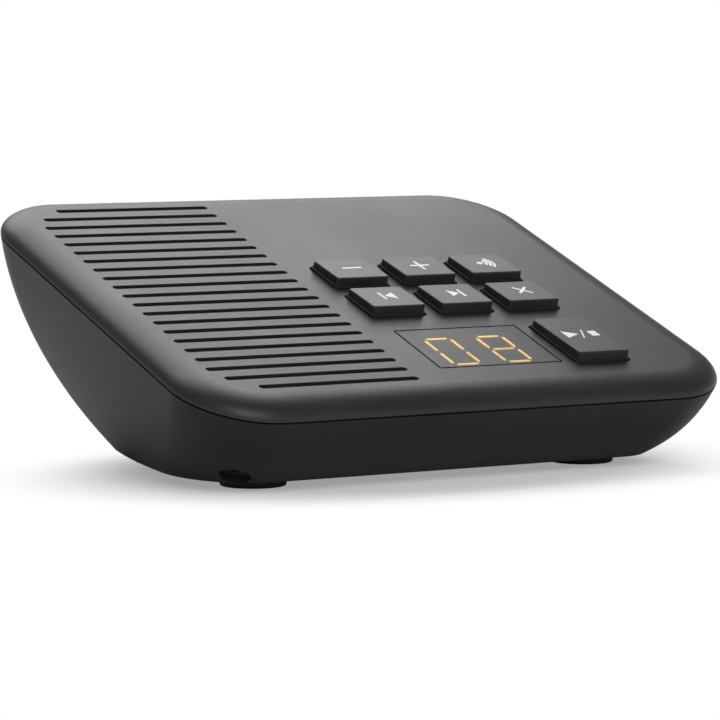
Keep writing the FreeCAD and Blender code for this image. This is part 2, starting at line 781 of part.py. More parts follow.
def lower_header():
    return box(15.0, 29.0, 11.0, 15.5, board_top, board_top + 4.6)


def upper_header():
    under = key_board_top - board_thickness
    return tilted(box(15.0, 29.0, 3.0, 7.5, under - 4.4, under))


def board_link():
    """The flat ribbon from one header to the other, bowed so that it doesn't pull."""
    start = vec(16.0, 13.2, board_top + 4.62)
    end_on_cover = tilted(Part.Vertex(16.0, 5.2, key_board_top - board_thickness - 4.44)).Point
    end = vec(16.0, end_on_cover.y, end_on_cover.z)
    bulge = 3.2
    middle = vec(16.0, (start.y + end.y) / 2.0 - bulge, (start.z + end.z) / 2.0)
    thick = vec(0, 0.6, 0)
    near = Part.Arc(start, middle, end).toShape()
    far = Part.Arc(end + thick, middle + thick, start + thick).toShape()
    ends = [Part.LineSegment(end, end + thick).toShape(), Part.LineSegment(start + thick, start).toShape()]
    face = Part.Face(Part.Wire([near, ends[0], far, ends[1]]))
    return face.extrude(vec(12.0, 0, 0))


def add(name, shape):
    nodes[name] = shape


def build():
    add("top_cover", top_cover())
    add("bottom_housing", bottom_housing())
    for name, x, y, length in key_places():
        add(name, key(x, y, length))
        add(name.replace("key", "button"), switch_plunger(x, y))
    makers = [display_window, display_module, digit_bars, switch_bodies, key_board, key_board_screws,
              grille_cloth, speaker_gasket, speaker_frame, speaker_magnet, speaker_cone,
              speaker_dust_cap, speaker_bracket, bracket_screws, microphone, microphone_boot,
              main_board, main_board_screws, processor, memory_chip, radio_shield, crystal,
              capacitors, line_transformer, line_socket, line_contacts, power_socket,
              power_contacts, antennas, lower_header, upper_header, board_link, rubber_feet,
              housing_screws]
    for maker in makers:
        add(maker.__name__, maker())


def export():
    os.makedirs("parts", exist_ok=True)
    for name, shape in nodes.items():
        shape.exportStep("parts/" + name + ".step")
        size = shape.BoundBox
        print("%-18s solids %2d  valid %s  volume %9.1f  x %.1f..%.1f y %.1f..%.1f z %.1f..%.1f" % (
            name, len(shape.Solids), shape.isValid(), shape.Volume,
            size.XMin, size.XMax, size.YMin, size.YMax, size.ZMin, size.ZMax))


build()
export()
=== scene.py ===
import json
import math

import bmesh
import bpy
from mathutils import Matrix, Vector


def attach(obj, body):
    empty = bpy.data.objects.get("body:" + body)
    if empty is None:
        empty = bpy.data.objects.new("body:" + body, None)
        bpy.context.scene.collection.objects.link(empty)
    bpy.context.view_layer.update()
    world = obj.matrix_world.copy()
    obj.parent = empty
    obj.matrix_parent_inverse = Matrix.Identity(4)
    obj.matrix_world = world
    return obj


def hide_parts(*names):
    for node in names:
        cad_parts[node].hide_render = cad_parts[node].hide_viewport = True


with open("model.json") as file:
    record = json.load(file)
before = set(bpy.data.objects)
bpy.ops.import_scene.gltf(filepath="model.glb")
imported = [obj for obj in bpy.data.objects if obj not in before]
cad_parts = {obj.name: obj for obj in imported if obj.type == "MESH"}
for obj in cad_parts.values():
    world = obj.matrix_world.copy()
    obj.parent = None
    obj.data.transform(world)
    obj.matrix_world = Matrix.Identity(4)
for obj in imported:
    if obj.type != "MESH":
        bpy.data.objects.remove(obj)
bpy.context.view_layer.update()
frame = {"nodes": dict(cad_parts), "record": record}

scene = bpy.context.scene
mm = 0.001
print("packed frame loaded")


# ---- where things are on the tilted cover
cover = {
    "tiltDegrees": 20.16,
    "centreY": -1.486,
    "centreZ": 36.94,
    "keyFrontHeight": 2.25,    # the keys' tops slope down to the back
    "keyBackHeight": 1.8,
    "keyLength": 10.6,
    "playKeyLength": 18.1,
    "keyColumns": (0.63, 17.75, 34.87),
    "backRow": 5.85,
    "frontRow": -9.15,
    "playKeyS": -32.25,
    "digitX": 10.2,
    "digitS": -31.2,
    "digitPitch": 12.85,
    "windowX": 9.95,
    "windowS": -31.2,
    "windowHalfWidth": 14.9,
    "windowHalfLength": 9.2,
    "openingsLeft": -9.0,      # the part of the cover with the keys and the window
    "openingsRight": 50.0,
    "openingsFront": -46.0,
    "openingsBack": 47.0,
}
tilt = math.radians(cover["tiltDegrees"])
coverToWorld = (Matrix.Translation(Vector((0, cover["centreY"], cover["centreZ"])) * mm)
                @ Matrix.Rotation(tilt, 4, "X") @ Matrix.Scale(mm, 4))


def onCover(x, s, h):
    return coverToWorld @ Vector((x, s, h))


def makePiece(name, bm, material=None):
    mesh = bpy.data.meshes.new(name)
    bm.to_mesh(mesh)
    bm.free()
    if material:
        mesh.materials.append(material)
    piece = bpy.data.objects.new(name, mesh)
    scene.collection.objects.link(piece)
    return piece


def treeNode(tree, kind, settings, links):
    made = tree.nodes.new(kind)
    for key, value in settings.items():
        setattr(made, key, value)
    for key, value in links.items():
        if hasattr(value, "is_linked"):
            tree.links.new(value, made.inputs[key])
        else:
            made.inputs[key].default_value = value
    return made


# ---- shader maths written as expressions
class Value:
    def __init__(self, shade, socket):
        self.shade = shade
        self.socket = socket

    def join(self, operation, other, swapped=False):
        pair = (other, self) if swapped else (self, other)
        return self.shade.add("ShaderNodeMath", {"operation": operation}, {0: pair[0], 1: pair[1]})

    def __add__(self, other):
        return self.join("ADD", other)

    __radd__ = __add__

    def __mul__(self, other):
        return self.join("MULTIPLY", other)

    __rmul__ = __mul__

    def __sub__(self, other):
        return self.join("SUBTRACT", other)

    def __rsub__(self, other):
        return self.join("SUBTRACT", other, swapped=True)

    def __lt__(self, other):
        return self.join("LESS_THAN", other)

    def __gt__(self, other):
        return self.join("GREATER_THAN", other)

    def largest(self, other):
        return self.join("MAXIMUM", other)

    def smallest(self, other):
        return self.join("MINIMUM", other)

    def size(self):
        return self.shade.add("ShaderNodeMath", {"operation": "ABSOLUTE"}, {0: self})


class Shade:
    def __init__(self, name):
        self.material = bpy.data.materials.new(name)
        self.material.use_nodes = True
        self.tree = self.material.node_tree
        self.tree.nodes.clear()
        self.output = self.tree.nodes.new("ShaderNodeOutputMaterial")
        self.shader = self.tree.nodes.new("ShaderNodeBsdfPrincipled")
        self.tree.links.new(self.shader.outputs[0], self.output.inputs["Surface"])
        self.place = self.add("ShaderNodeTexCoord", {}, {}, "Object")

    def put(self, node, key, value):
        if isinstance(value, Value):
            self.tree.links.new(value.socket, node.inputs[key])
        else:
            node.inputs[key].default_value = value

    def add(self, kind, settings, inputs, output=0):
        node = self.tree.nodes.new(kind)
        for key, value in settings.items():
            setattr(node, key, value)
        for key, value in inputs.items():
            self.put(node, key, value)
        return Value(self, node.outputs[output])

    def fixed(self, **sockets):
        for key, value in sockets.items():
            self.shader.inputs[key.replace("_", " ")].default_value = value

    def drive(self, key, value):
        self.put(self.shader, key, value)

    def noise(self, scale, detail=2.0, roughness=0.5, vector=None):
        return self.add("ShaderNodeTexNoise", {}, {"Vector": vector or self.place, "Scale": scale,
                                                   "Detail": detail, "Roughness": roughness}, "Fac")

    def mix(self, factor, first, second):
        node = self.tree.nodes.new("ShaderNodeMix")
        node.data_type = "RGBA"
        self.put(node, 0, factor)
        for key, value in ((6, first), (7, second)):
            self.put(node, key, value if isinstance(value, Value) else tuple(value) + (1.0,))
        return Value(self, node.outputs[2])

    def ramp(self, value, low, high):
        return self.add("ShaderNodeMapRange", {"clamp": True, "interpolation_type": "SMOOTHSTEP"},
                        {"Value": value, "From Min": low, "From Max": high})

    def part(self, axis, vector=None):
        return self.add("ShaderNodeSeparateXYZ", {}, {"Vector": vector or self.place}, axis)

    def bump(self, height, strength, distance):
        return self.add("ShaderNodeBump", {}, {"Height": height, "Strength": strength, "Distance": distance})


# ---- finishes
coverLook = {
    "colour": (0.0225, 0.0228, 0.0235),
    "dust": (0.050, 0.050, 0.051),
    "roughness": 0.44,
    "grainPerMetre": 3200.0,
    "grainDepth": 0.000022,
    "grainStrength": 0.35,
    "shine": 0.32,
    # painted shade colour, laid where a mask marks recesses and the keys' low skirts
    "paintedShade": (0.003, 0.003, 0.003),
}


def coverSpace(shade):    # across, up the slope and out of the cover, in millimetres
    centre = (0.0, cover["centreY"] * mm, cover["centreZ"] * mm)
    moved = shade.add("ShaderNodeVectorMath", {"operation": "SUBTRACT"}, {0: shade.place, 1: centre})
    level = shade.add("ShaderNodeVectorRotate", {"rotation_type": "X_AXIS"}, {"Vector": moved, "Angle": -tilt})
    scaled = shade.add("ShaderNodeVectorMath", {"operation": "SCALE"}, {0: level, "Scale": 1000.0})
    return [shade.part(axis, scaled) for axis in "XYZ"]


# painted shade on the keys' skirts, by height above the cover in millimetres
keyFootLook = {
    "darkBelow": 0.46,
    "lightAbove": 0.62,
    "share": 0.6,
}


def keyFoot(shade):    # painted shade: the keys' low skirt is darkened
    height = coverSpace(shade)[2]
    return (1.0 - shade.ramp(height, keyFootLook["darkBelow"], keyFootLook["lightAbove"])) * keyFootLook["share"]


def openingWalls(shade):    # walls of the key openings and of the window's groove, darkened as painted shade
    x, s, h = coverSpace(shade)
    across = (x > cover["openingsLeft"]) * (x < cover["openingsRight"])
    return (h < -0.1) * across * (s < cover["openingsBack"]) * (s > cover["openingsFront"])


def paneEdge(shade):    # painted shade on the pane's sides and a dark line round its face
    x, s, h = coverSpace(shade)
    pastSide = (x - cover["windowX"]).size() - cover["windowHalfWidth"]
    pastEnd = (s - cover["windowS"]).size() - cover["windowHalfLength"]
    line = shade.ramp(pastSide.largest(pastEnd), windowLook["lineStart"], windowLook["lineEnd"])
    return line.largest(h < windowLook["faceHeight"])


def mouldedPlastic(name, look, paintedShadeWhere=None):
    shade = Shade(name)
    grain = shade.noise(look["grainPerMetre"], 3.0, 0.6)
    pores = shade.noise(look["grainPerMetre"] * 0.42, 2.0, 0.5)
    broad = shade.noise(38.0, 4.0, 0.55)
    speck = shade.ramp(shade.noise(1400.0, 2.0, 0.7), 0.68, 0.76)
    shading = shade.ramp(broad, 0.3, 0.72)
    base = shade.mix(shading, [c * 0.9 for c in look["colour"]], [c * 1.1 for c in look["colour"]])
    colour = shade.mix(speck * 0.18, base, look["dust"])
    roughness = look["roughness"] + (broad - 0.5) * 0.12 + (pores - 0.5) * 0.10
    # painted shade: the mask darkens the colour towards the shade colour and roughens the surface
    if paintedShadeWhere:
        paintedShade = paintedShadeWhere(shade)
        colour = shade.mix(paintedShade, colour, look["paintedShade"])
        roughness = roughness + paintedShade * 0.5
    shade.drive("Base Color", colour)
    shade.drive("Roughness", roughness)
    shade.drive("Normal", shade.bump(grain * 0.7 + pores * 0.5, look["grainStrength"], look["grainDepth"]))
    shade.fixed(IOR=1.5, Specular_IOR_Level=look["shine"])
    return shade.material


def rubberSkin(name, colour):
    shade = Shade(name)
    fine = shade.noise(2600.0, 3.0, 0.65)
    dust = shade.ramp(shade.noise(240.0, 5.0, 0.62), 0.52, 0.74)
    shade.drive("Base Color", shade.mix(dust * 0.35, colour, [c * 2.2 + 0.02 for c in colour]))
    shade.drive("Roughness", 0.72 + (fine - 0.5) * 0.2)
    shade.drive("Normal", shade.bump(fine, 0.4, 0.00003))
    return shade.material


def metalSkin(name, colour, roughness, streakScale=900.0):
    shade = Shade(name)
    along = shade.add("ShaderNodeMapping", {}, {"Vector": shade.place, "Scale": (1.0, 0.06, 1.0)})
    streaks = shade.noise(streakScale, 3.0, 0.6, along)
    stains = shade.ramp(shade.noise(160.0, 4.0, 0.6), 0.5, 0.8)
    shade.drive("Base Color", shade.mix(stains * 0.3, colour, [c * 0.72 for c in colour]))
    shade.drive("Roughness", roughness + (streaks - 0.5) * 0.2)
    shade.drive("Normal", shade.bump(streaks, 0.2, 0.00001))
    shade.fixed(Metallic=1.0)
    return shade.material


def circuitBoard(name):
    shade = Shade(name)
    cells = shade.add("ShaderNodeTexVoronoi", {"feature": "DISTANCE_TO_EDGE", "distance": "CHEBYCHEV"},
                      {"Vector": shade.place, "Scale": 420.0}, "Distance")
    tracks = shade.ramp(cells, 0.03, 0.055)
    weave = shade.noise(1800.0, 2.0, 0.5)
    pads = shade.add("ShaderNodeTexVoronoi", {}, {"Vector": shade.place, "Scale": 260.0}, "Distance")
    via = shade.ramp(pads, 0.11, 0.07)
    mask = shade.mix(tracks, (0.05, 0.26, 0.10), (0.018, 0.13, 0.05))
    shade.drive("Base Color", shade.mix(via, mask, (0.62, 0.6, 0.52)))
    shade.drive("Metallic", via * 0.8)
    shade.drive("Roughness", 0.34 + weave * 0.16)
    shade.drive("Normal", shade.bump(tracks * -0.5 + weave * 0.2, 0.3, 0.00003))
    return shade.material


clothLook = {
    "waves": 7400.0,      # radians of thread per metre
    "hollow": (0.002, 0.002, 0.002),
    "thread": (0.014, 0.014, 0.015),
}


def wovenCloth(name, look):
    shade = Shade(name)
    flat = shade.add("ShaderNodeVectorRotate", {"rotation_type": "X_AXIS"}, {"Vector": shade.place, "Angle": -tilt})
    warp, weft = [shade.add("ShaderNodeMath", {"operation": "SINE"}, {0: shade.part(axis, flat) * look["waves"]})
                  for axis in "XY"]
    over = shade.ramp(warp * weft, -0.9, 0.9)
    fuzz = shade.noise(3000.0, 2.0, 0.6)
    shade.drive("Base Color", shade.mix(over * 0.8 + fuzz * 0.2, look["hollow"], look["thread"]))
    shade.drive("Roughness", 0.85 + (fuzz - 0.5) * 0.2)
    shade.drive("Normal", shade.bump(over, 0.6, 0.0001))
    shade.fixed(Sheen_Weight=0.2)
    return shade.material


def pressedPaper(name):
    shade = Shade(name)
    fibres = shade.noise(900.0, 6.0, 0.7)
    shade.drive("Base Color", shade.mix(fibres, (0.03, 0.028, 0.026), (0.09, 0.085, 0.08)))
    shade.drive("Roughness", 0.82 + (fibres - 0.5) * 0.2)
    shade.drive("Normal", shade.bump(fibres, 0.5, 0.00006))
    return shade.material


def ferrite(name):
    shade = Shade(name)
    chips = shade.noise(520.0, 5.0, 0.65)
    shade.drive("Base Color", shade.mix(chips, (0.035, 0.035, 0.037), (0.085, 0.085, 0.088)))
    shade.drive("Roughness", 0.5 + chips * 0.2)
    shade.drive("Normal", shade.bump(chips, 0.4, 0.00004))
    return shade.material


windowLook = {
    "smoke": (0.024, 0.0243, 0.025),
    # painted shade colour for the pane's sides and rim
    "edge": (0.002, 0.002, 0.002),
    "roughness": 0.4,
    "seeThrough": 0.25,
    "shine": 0.42,
    "lineStart": -0.2,      # painted shade line, measured outwards from the pane's edge
    "lineEnd": -0.12,
    "faceHeight": -0.06,    # lower than this are the sides
}


def smokedWindow(name, look):
    shade = Shade(name)
    grain = shade.noise(2600.0, 2.0, 0.5)
    haze = shade.ramp(shade.noise(70.0, 4.0, 0.6), 0.35, 0.75)
    side = paneEdge(shade)
    face = shade.mix(haze * 0.4, look["smoke"], [c * 1.4 for c in look["smoke"]])
    # painted shade on the pane's sides and round its face
    shade.drive("Base Color", shade.mix(side, face, look["edge"]))
    shade.drive("Roughness", look["roughness"] + (haze - 0.5) * 0.05 + side * 0.5)
    shade.fixed(Specular_IOR_Level=look["shine"])
    shade.drive("Alpha", 1.0 - look["seeThrough"] + (haze - 0.5) * 0.04)
    shade.drive("Normal", shade.bump(grain, 0.15, 0.00001))
    return shade.material


digitLook = {
    "core": (1.0, 0.67, 0.13),
    "rim": (0.5, 0.22, 0.02),
    "side": (0.04, 0.018, 0.002),
    "unlit": (0.02, 0.02, 0.02),
    "strength": 13.0,
    "halfWidth": 3.21,      # from a digit's middle to the middle of its upright bars
    "halfHeight": 6.21,
    "rimStart": 0.27,
    "rimEnd": 0.39,
    "cornerGap": 0.55,
    "middleGap": 0.65,
    "middleHalfLength": 2.7,
    "middleHalfWidth": 0.6,
    "faceHeight": -0.87,    # lower than this are the bars' sides
}


def litBars(name, look):
    shade = Shade(name)
    x, s, h = coverSpace(shade)
    across = x - cover["digitX"]
    inDigit = (across.size() - cover["digitPitch"] / 2).size()
    up = (s - cover["digitS"]).size()
    upright = inDigit - look["halfWidth"]
    level = up - look["halfHeight"]
    fromUpright = upright.size()
    fromLevel = level.size().smallest(up)
    ends = ((upright - level).size() < look["cornerGap"]).largest(fromUpright + up < look["middleGap"])
    offCentre = fromUpright.smallest(fromLevel)      # distance from the bar's own middle line
    middle = (inDigit < look["middleHalfLength"]) * (up < look["middleHalfWidth"])
    unlit = (across < 0.0) * middle      # the nought's middle bar stays dark
    rim = shade.ramp(offCentre, look["rimStart"], look["rimEnd"])
    glow = shade.noise(1500.0, 2.0, 0.5)
    lit = shade.mix(rim * 0.85 + glow * 0.1, look["core"], look["rim"])
    lit = shade.mix((h < look["faceHeight"]).largest(ends), lit, look["side"])
    shade.drive("Base Color", shade.mix(unlit, look["core"], look["unlit"]))
    shade.drive("Emission Color", shade.mix(unlit, lit, (0.0, 0.0, 0.0)))
    shade.fixed(Emission_Strength=look["strength"])
    shade.drive("Roughness", 0.4 + glow * 0.1)
    return shade.material


def printedInk(name):
    shade = Shade(name)
    fine = shade.noise(2400.0, 3.0, 0.6)
    shade.drive("Base Color", shade.mix(fine, (0.88, 0.88, 0.88), (0.96, 0.96, 0.95)))
    shade.drive("Roughness", 0.5 + (fine - 0.5) * 0.2)
    shade.drive("Normal", shade.bump(fine, 0.15, 0.00001))
    return shade.material


def withLook(**changes):
    look = dict(coverLook)
    look.update(changes)
    return look


finishes = {
    "cover_plastic": mouldedPlastic("coverPlastic", coverLook, openingWalls),
    "housing_plastic": mouldedPlastic("housingPlastic", withLook(
        colour=(0.0215, 0.0218, 0.0223), dust=(0.035, 0.035, 0.036), roughness=0.5, shine=0.2)),
    "key_plastic": mouldedPlastic("keyPlastic", withLook(
        colour=(0.0245, 0.0248, 0.0255), roughness=0.43, grainStrength=0.2), keyFoot),
    "window_plastic": smokedWindow("windowPlastic", windowLook),
    "module_plastic": mouldedPlastic("modulePlastic", withLook(colour=(0.05, 0.05, 0.051), roughness=0.55)),
    "digit_light": litBars("digitLight", digitLook),
    "switch_plastic": mouldedPlastic("switchPlastic", withLook(colour=(0.012, 0.012, 0.013), roughness=0.4)),
    "button_ivory": mouldedPlastic("buttonIvory", withLook(
        colour=(0.72, 0.66, 0.52), dust=(0.5, 0.45, 0.36), roughness=0.45)),
    "board_green": circuitBoard("boardGreen"),
    "screw_steel": metalSkin("screwSteel", (0.62, 0.61, 0.58), 0.32),
    "cloth_black": wovenCloth("clothBlack", clothLook),
    "gasket_foam": rubberSkin("gasketFoam", (0.02, 0.02, 0.02)),
    "basket_steel": mouldedPlastic("basketPaint", withLook(colour=(0.02, 0.02, 0.021), roughness=0.35)),
    "magnet_dark": ferrite("magnetDark"),
    "cone_paper": pressedPaper("conePaper"),
    "can_metal": metalSkin("canMetal", (0.70, 0.69, 0.66), 0.28),
    "rubber_black": rubberSkin("rubberBlack", (0.012, 0.012, 0.012)),
    "chip_black": mouldedPlastic("chipBlack", withLook(colour=(0.015, 0.015, 0.016), roughness=0.6)),
    "sleeve_blue": mouldedPlastic("sleeveBlue", withLook(
        colour=(0.012, 0.022, 0.09), roughness=0.28, grainStrength=0.05)),
    "transformer_tape": mouldedPlastic("transformerTape", withLook(colour=(0.55, 0.38, 0.04), roughness=0.35)),
    "contact_gold": metalSkin("contactGold", (0.86, 0.62, 0.24), 0.25),
    "ribbon_grey": mouldedPlastic("ribbonGrey", withLook(colour=(0.42, 0.42, 0.42), roughness=0.45)),
    "rubber_feet": rubberSkin("rubberFeet", (0.035, 0.035, 0.036)),
}
ink = printedInk("printedInk")
slotOf = {p["node"]: p["material_slot"] for p in frame["record"]["subparts"]}
for node, item in frame["nodes"].items():
    item.data.materials.clear()
    item.data.materials.append(finishes[slotOf[node]])
print("finishes set on", len(frame["nodes"]), "nodes")


# ---- printed key symbols, as thin raised ink
symbols = {
    "inkThickness": 0.025,
    "shiftX": 0.25,      # the print sits a little right of and behind the middle
    "shiftS": 0.25,
    "minusLength": 4.8,
    "plusReach": 2.45,
    "thickLine": 0.66,
    "fineLine": 0.62,
    "waveRadii": (1.45, 2.35, 3.25),
    "sink": -0.012,      # how far the ink's underside goes into the key
}


def keyTop(length, x, s, px, ps, lift):
    slope = (cover["keyBackHeight"] - cover["keyFrontHeight"]) / length
    return onCover(x + px, s + ps, cover["keyFrontHeight"] + slope * (ps + length / 2) + lift)


def inkPrism(bm, outline, x, s, length):
    spread = [(px + symbols["shiftX"], ps + symbols["shiftS"]) for px, ps in outline]
    low = [bm.verts.new(keyTop(length, x, s, px, ps, symbols["sink"])) for px, ps in spread]
    high = [bm.verts.new(keyTop(length, x, s, px, ps, symbols["inkThickness"])) for px, ps in spread]
    bm.faces.new(high)
    bm.faces.new(list(reversed(low)))
    n = len(spread)
    for i in range(n):
        j = (i + 1) % n
        bm.faces.new((low[i], low[j], high[j], high[i]))


def bar(length, width, angle=0.0, cx=0.0, cy=0.0):
    c, s = math.cos(angle), math.sin(angle)
    a, b = length / 2, width / 2
    return [(cx + x * c - y * s, cy + x * s + y * c) for x, y in ((-a, -b), (a, -b), (a, b), (-a, b))]


def arcBand(radius, width, reach, cx, steps=14):
    turns = [math.radians(-reach + 2 * reach * i / steps) for i in range(steps + 1)]
    outer = [(cx + (radius + width / 2) * math.cos(t), (radius + width / 2) * math.sin(t)) for t in turns]
    inner = [(cx + (radius - width / 2) * math.cos(t), (radius - width / 2) * math.sin(t)) for t in turns]
    return outer + inner[::-1]


def disc(radius, cx, steps=28):
    turns = [2 * math.pi * i / steps for i in range(steps)]
    return [(cx + radius * math.cos(t), radius * math.sin(t)) for t in turns]


def symbolShapes():
    thick, fine = symbols["thickLine"], symbols["fineLine"]
    w, r = thick / 2, symbols["plusReach"]
    cross = [(-r, -w), (-w, -w), (-w, -r), (w, -r), (w, -w), (r, -w),
             (r, w), (w, w), (w, r), (-w, r), (-w, w), (-r, w)]
    turned = [((x - y) * 0.69, (x + y) * 0.69) for x, y in cross]
    waves = [arcBand(radius, fine, 48, -1.4) for radius in symbols["waveRadii"]]
    k = cover["keyColumns"]
    back, front = cover["backRow"], cover["frontRow"]
    small, large = cover["keyLength"], cover["playKeyLength"]
    return {
        "minus": ("minus", k[0], back, small, [bar(symbols["minusLength"], thick * 1.1)]),
        "plus": ("plus", k[1], back, small, [cross]),
        "page": ("page", k[2], back, small, [disc(0.72, -1.5)] + waves),
        "previous": ("previous", k[0], front, small,
                     [bar(3.8, fine, math.pi / 2, -1.35), [(1.75, -1.75), (1.75, 1.75), (-0.75, 0)]]),
        "next": ("next", k[1], front, small,
                 [[(-1.6, -1.75), (0.75, 0), (-1.6, 1.75)], bar(3.8, fine, math.pi / 2, 1.35)]),
        "delete": ("delete", k[2], front, small, [turned]),
        "playStop": ("play_stop", k[2], cover["playKeyS"], large,
                     [[(-4.3, -1.75), (-0.8, 0), (-4.3, 1.75)], bar(4.5, 0.34, math.radians(66), 0.25),
                      bar(2.0, 2.5, 0, 3.05)]),
    }


for name, (body, x, s, length, outlines) in symbolShapes().items():
    bm = bmesh.new()
    for outline in outlines:
        inkPrism(bm, outline, x, s, length)
    bmesh.ops.recalc_face_normals(bm, faces=bm.faces)
    piece = makePiece(name + "Symbol", bm, ink)
    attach(piece, body)
print("key symbols printed")


# ---- cloth behind the grille, a stretched sheet with cut-outs for bosses and posts
clothCut = {
    "left": -57.9,
    "right": -11.7,
    "front": -46.0,
    "back": 47.2,
    "cornerRadius": 9.0,
    "top": -2.24,
    "thickness": 0.3,
    "bosses": ((-9.3, -30.0), (-28.5, 29.5)),
    "bossGap": 4.3,
    "posts": ((-59.0, 18.0), (-59.0, -17.0), (-10.6, 18.0), (-10.6, -17.0)),
    "postGap": 2.4,
    "cells": 1.0,
}


def clothCovers(x, s):
    cut = clothCut
    inX = cut["left"] + cut["cornerRadius"] - x
    inS = max(cut["front"] + cut["cornerRadius"] - s, s - cut["back"] + cut["cornerRadius"])
    if inX > 0 and inS > 0 and math.hypot(inX, inS) > cut["cornerRadius"]:
        return False
    if any(math.hypot(x - px, s - ps) < cut["postGap"] for px, ps in cut["posts"]):
        return False
    at = onCover(x, s, cut["top"]) / mm
    return all(math.hypot(at.x - bx, at.y - by) > cut["bossGap"] for bx, by in cut["bosses"])


def buildGrilleCloth():
    cut = clothCut
    columns = round((cut["right"] - cut["left"]) / cut["cells"])
    rows = round((cut["back"] - cut["front"]) / cut["cells"])
    stepX = (cut["right"] - cut["left"]) / columns
    stepS = (cut["back"] - cut["front"]) / rows
    bm = bmesh.new()
    grid = [[bm.verts.new(onCover(cut["left"] + i * stepX, cut["front"] + j * stepS, cut["top"]))
             for j in range(rows + 1)] for i in range(columns + 1)]
    for i in range(columns):
        for j in range(rows):
            if clothCovers(cut["left"] + (i + 0.5) * stepX, cut["front"] + (j + 0.5) * stepS):
                bm.faces.new((grid[i][j], grid[i + 1][j], grid[i + 1][j + 1], grid[i][j + 1]))
    bmesh.ops.delete(bm, geom=[v for v in bm.verts if not v.link_faces], context="VERTS")
    made = bmesh.ops.extrude_face_region(bm, geom=list(bm.faces), use_keep_orig=True)
    down = onCover(0, 0, -cut["thickness"]) - onCover(0, 0, 0)
    bmesh.ops.translate(bm, verts=[v for v in made["geom"] if isinstance(v, bmesh.types.BMVert)], vec=down)
    bmesh.ops.recalc_face_normals(bm, faces=bm.faces)
    piece = makePiece("grilleCloth", bm, finishes["cloth_black"])
    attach(piece, "base")
    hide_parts("grille_cloth")


buildGrilleCloth()
print("grille cloth stretched")


# ---- small parts on the main board and solder on the key board, placed by node trees
smallParts = {
    "boardTop": 9.6,
    "pitchX": 3.1,
    "pitchY": 2.5,
    "reach": ((-39.0, 39.0), (-20.5, 22.5)),
    "taken": (            # left, right, front and back of what already stands on the board
        (-5, 13, -15, 3), (-23, -9, -16, 0), (13, 40, -13, 9), (-7.5, 7.5, 5, 13), (13, 31, 9, 28),
        (26, 35, 15, 25), (-27, -17, -22, -12), (-33, -17, 8.5, 26), (-17, 17, 20.5, 40), (-42, -39, -10, 15),
        (32, 42, 16, 26), (-42, -32, 16, 26), (32, 42, -22, -12), (-42, -32, -22, -12)),
    "room": 1.0,          # kept free round those
    "keyBoardUnder": -10.6,
    "pinsPerRow": 9,
    "pinPitch": 2.54,
    "pinRow": 6.6,
    "resistor": {"size": (1.6, 0.8, 0.5), "share": 0.38, "seed": 7},
    "capacitor": {"size": (1.5, 0.9, 0.9), "share": 0.24, "seed": 23},
    "solder": {"size": (1.3, 1.3, 0.8), "share": 1.0, "seed": 1},
}


def placingTree(name, domes, material):
    tree = bpy.data.node_groups.new(name, "GeometryNodeTree")
    for label, way, kind in (
            ("Points", "INPUT", "Geometry"), ("Part Size", "INPUT", "Vector"), ("Lean", "INPUT", "Float"),
            ("Kept Share", "INPUT", "Float"), ("Seed", "INPUT", "Int"), ("Parts", "OUTPUT", "Geometry")):
        tree.interface.new_socket(label, in_out=way, socket_type="NodeSocket" + kind)
    given = treeNode(tree, "NodeGroupInput", {}, {}).outputs
    if domes:
        part = treeNode(tree, "GeometryNodeMeshIcoSphere", {}, {"Radius": 0.5, "Subdivisions": 2})
    else:
        part = treeNode(tree, "GeometryNodeMeshCube", {}, {"Size": (1, 1, 1)})
    sized = treeNode(tree, "GeometryNodeTransform", {},
                     {"Geometry": part.outputs["Mesh"], "Scale": given["Part Size"]})
    kept = treeNode(tree, "FunctionNodeRandomValue", {"data_type": "BOOLEAN"},
                    {"Probability": given["Kept Share"], "Seed": given["Seed"]})
    turned = treeNode(tree, "FunctionNodeRandomValue", {"data_type": "INT"}, {4: 0, 5: 1, "Seed": given["Seed"]})
    quarter = treeNode(tree, "ShaderNodeMath", {"operation": "MULTIPLY"}, {0: turned.outputs[2], 1: math.pi / 2})
    angles = treeNode(tree, "ShaderNodeCombineXYZ", {}, {"X": given["Lean"], "Z": quarter.outputs[0]})
    placed = treeNode(tree, "GeometryNodeInstanceOnPoints", {}, {
        "Points": given["Points"], "Selection": kept.outputs[3], "Instance": sized.outputs[0],
        "Rotation": angles.outputs[0]})
    real = treeNode(tree, "GeometryNodeRealizeInstances", {}, {"Geometry": placed.outputs[0]})
    coated = treeNode(tree, "GeometryNodeSetMaterial", {}, {"Geometry": real.outputs[0], "Material": material})
    treeNode(tree, "NodeGroupOutput", {}, {"Parts": coated.outputs[0]})
    return tree


def placeParts(name, points, look, lean, slot, domes=False):
    mesh = bpy.data.meshes.new(name + "Points")
    mesh.from_pydata(points, [], [])
    piece = bpy.data.objects.new(name, mesh)
    scene.collection.objects.link(piece)
    tree = placingTree(name + "Tree", domes, finishes[slot])
    modifier = piece.modifiers.new("placing", "NODES")
    modifier.node_group = tree
    values = {"Part Size": [c * mm for c in look["size"]], "Lean": lean, "Kept Share": look["share"],
              "Seed": look["seed"]}
    for socket in tree.interface.items_tree:
        if socket.in_out == "INPUT" and socket.name in values:
            modifier[socket.identifier] = values[socket.name]
    ready = piece.evaluated_get(bpy.context.evaluated_depsgraph_get())
    plain = bpy.data.meshes.new_from_object(ready)
    piece.modifiers.clear()
    piece.data = plain
    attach(piece, "base")
    print(name, len(plain.polygons), "faces")


